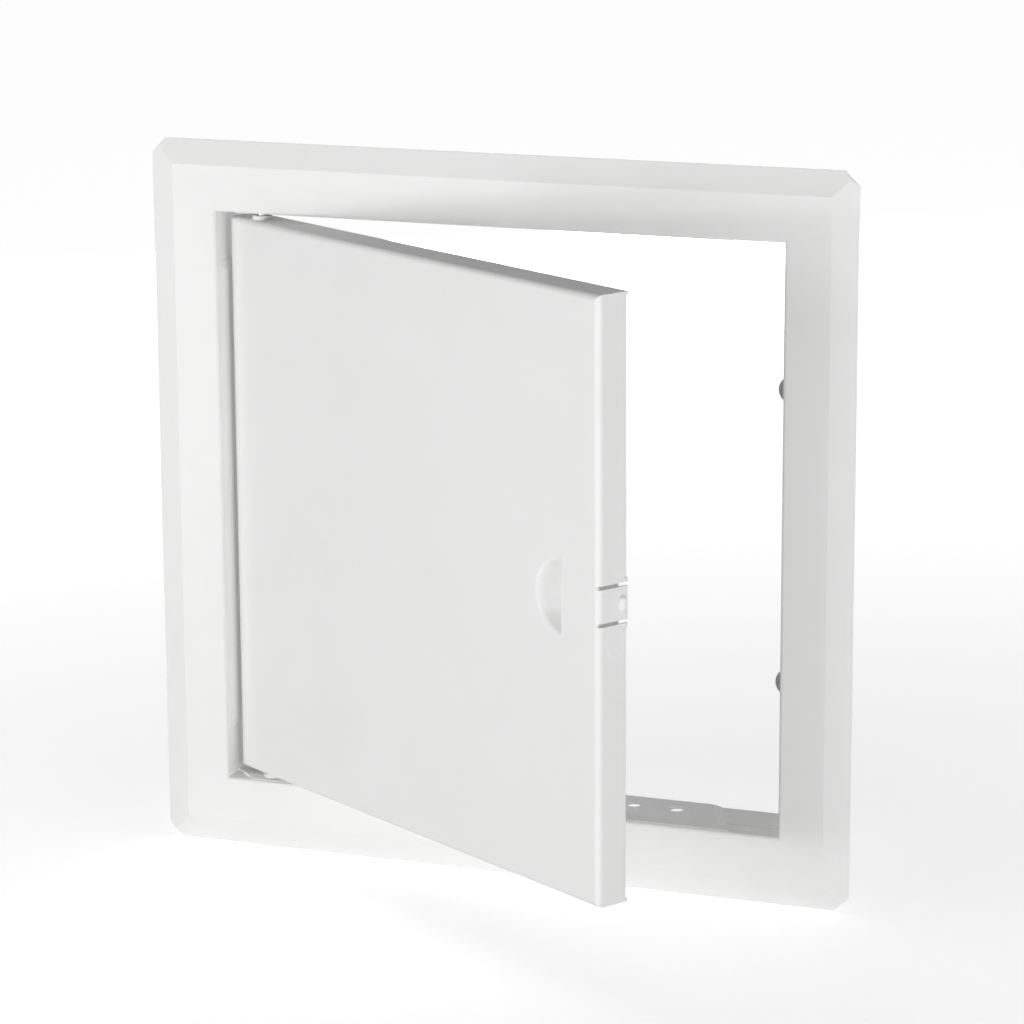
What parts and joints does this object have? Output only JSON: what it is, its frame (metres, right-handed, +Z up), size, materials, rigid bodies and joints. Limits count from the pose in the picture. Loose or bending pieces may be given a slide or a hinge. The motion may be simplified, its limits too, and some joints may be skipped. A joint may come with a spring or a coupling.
{
  "type": "hinged access panel",
  "caption": "Square white sheet-steel access panel for a ceiling or wall: a flanged frame with a shallow collar, and a folded door on pivot pins with a finger scoop and a snap latch.",
  "frame": {"origin": "middle of the opening, on the plane of the wall that the flange's rim stands on", "axes": "+X across the opening towards the latch side, +Y into the wall, +Z up as the panel hangs in the picture; the front faces -Y"},
  "size_m": [0.25, 0.1189, 0.25],
  "materials": {
    "white_coat": "satin white powder coat with a fine orange-peel grain",
    "bright_zinc": "bright zinc plate",
    "white_nylon": "plain moulded",
    "grey_rubber": "matt moulded"
  },
  "bodies": {
    "frame": {"surround": "white_coat", "collar_top": "white_coat", "collar_bottom": "white_coat", "collar_hinge_side": "white_coat", "collar_latch_side": "white_coat", "upper_door_stop": "grey_rubber", "lower_door_stop": "grey_rubber", "upper_hinge_pin": "bright_zinc", "lower_hinge_pin": "bright_zinc", "upper_retaining_ring": "bright_zinc", "lower_retaining_ring": "bright_zinc", "lower_pivot_washer": "white_nylon"},
    "door": {"door_panel": "white_coat", "upper_pivot_washer": "white_nylon"},
    "latch": {"latch_tongue": "white_coat"}
  },
  "joints": [
    {"name": "door_swing", "type": "hinge", "parent": "frame", "child": "door", "pos_m": [-0.0855, 0.0021, 0], "axis": [0, 0, -1], "range_deg": [-31, 89]},
    {"name": "latch_flex", "type": "hinge", "parent": "door", "child": "latch", "pos_m": [0.07102, -0.09428, 0], "axis": [0, 0, 1], "range_deg": [0, 10], "stiffness_Nm_per_rad": 0.3}
  ]
}
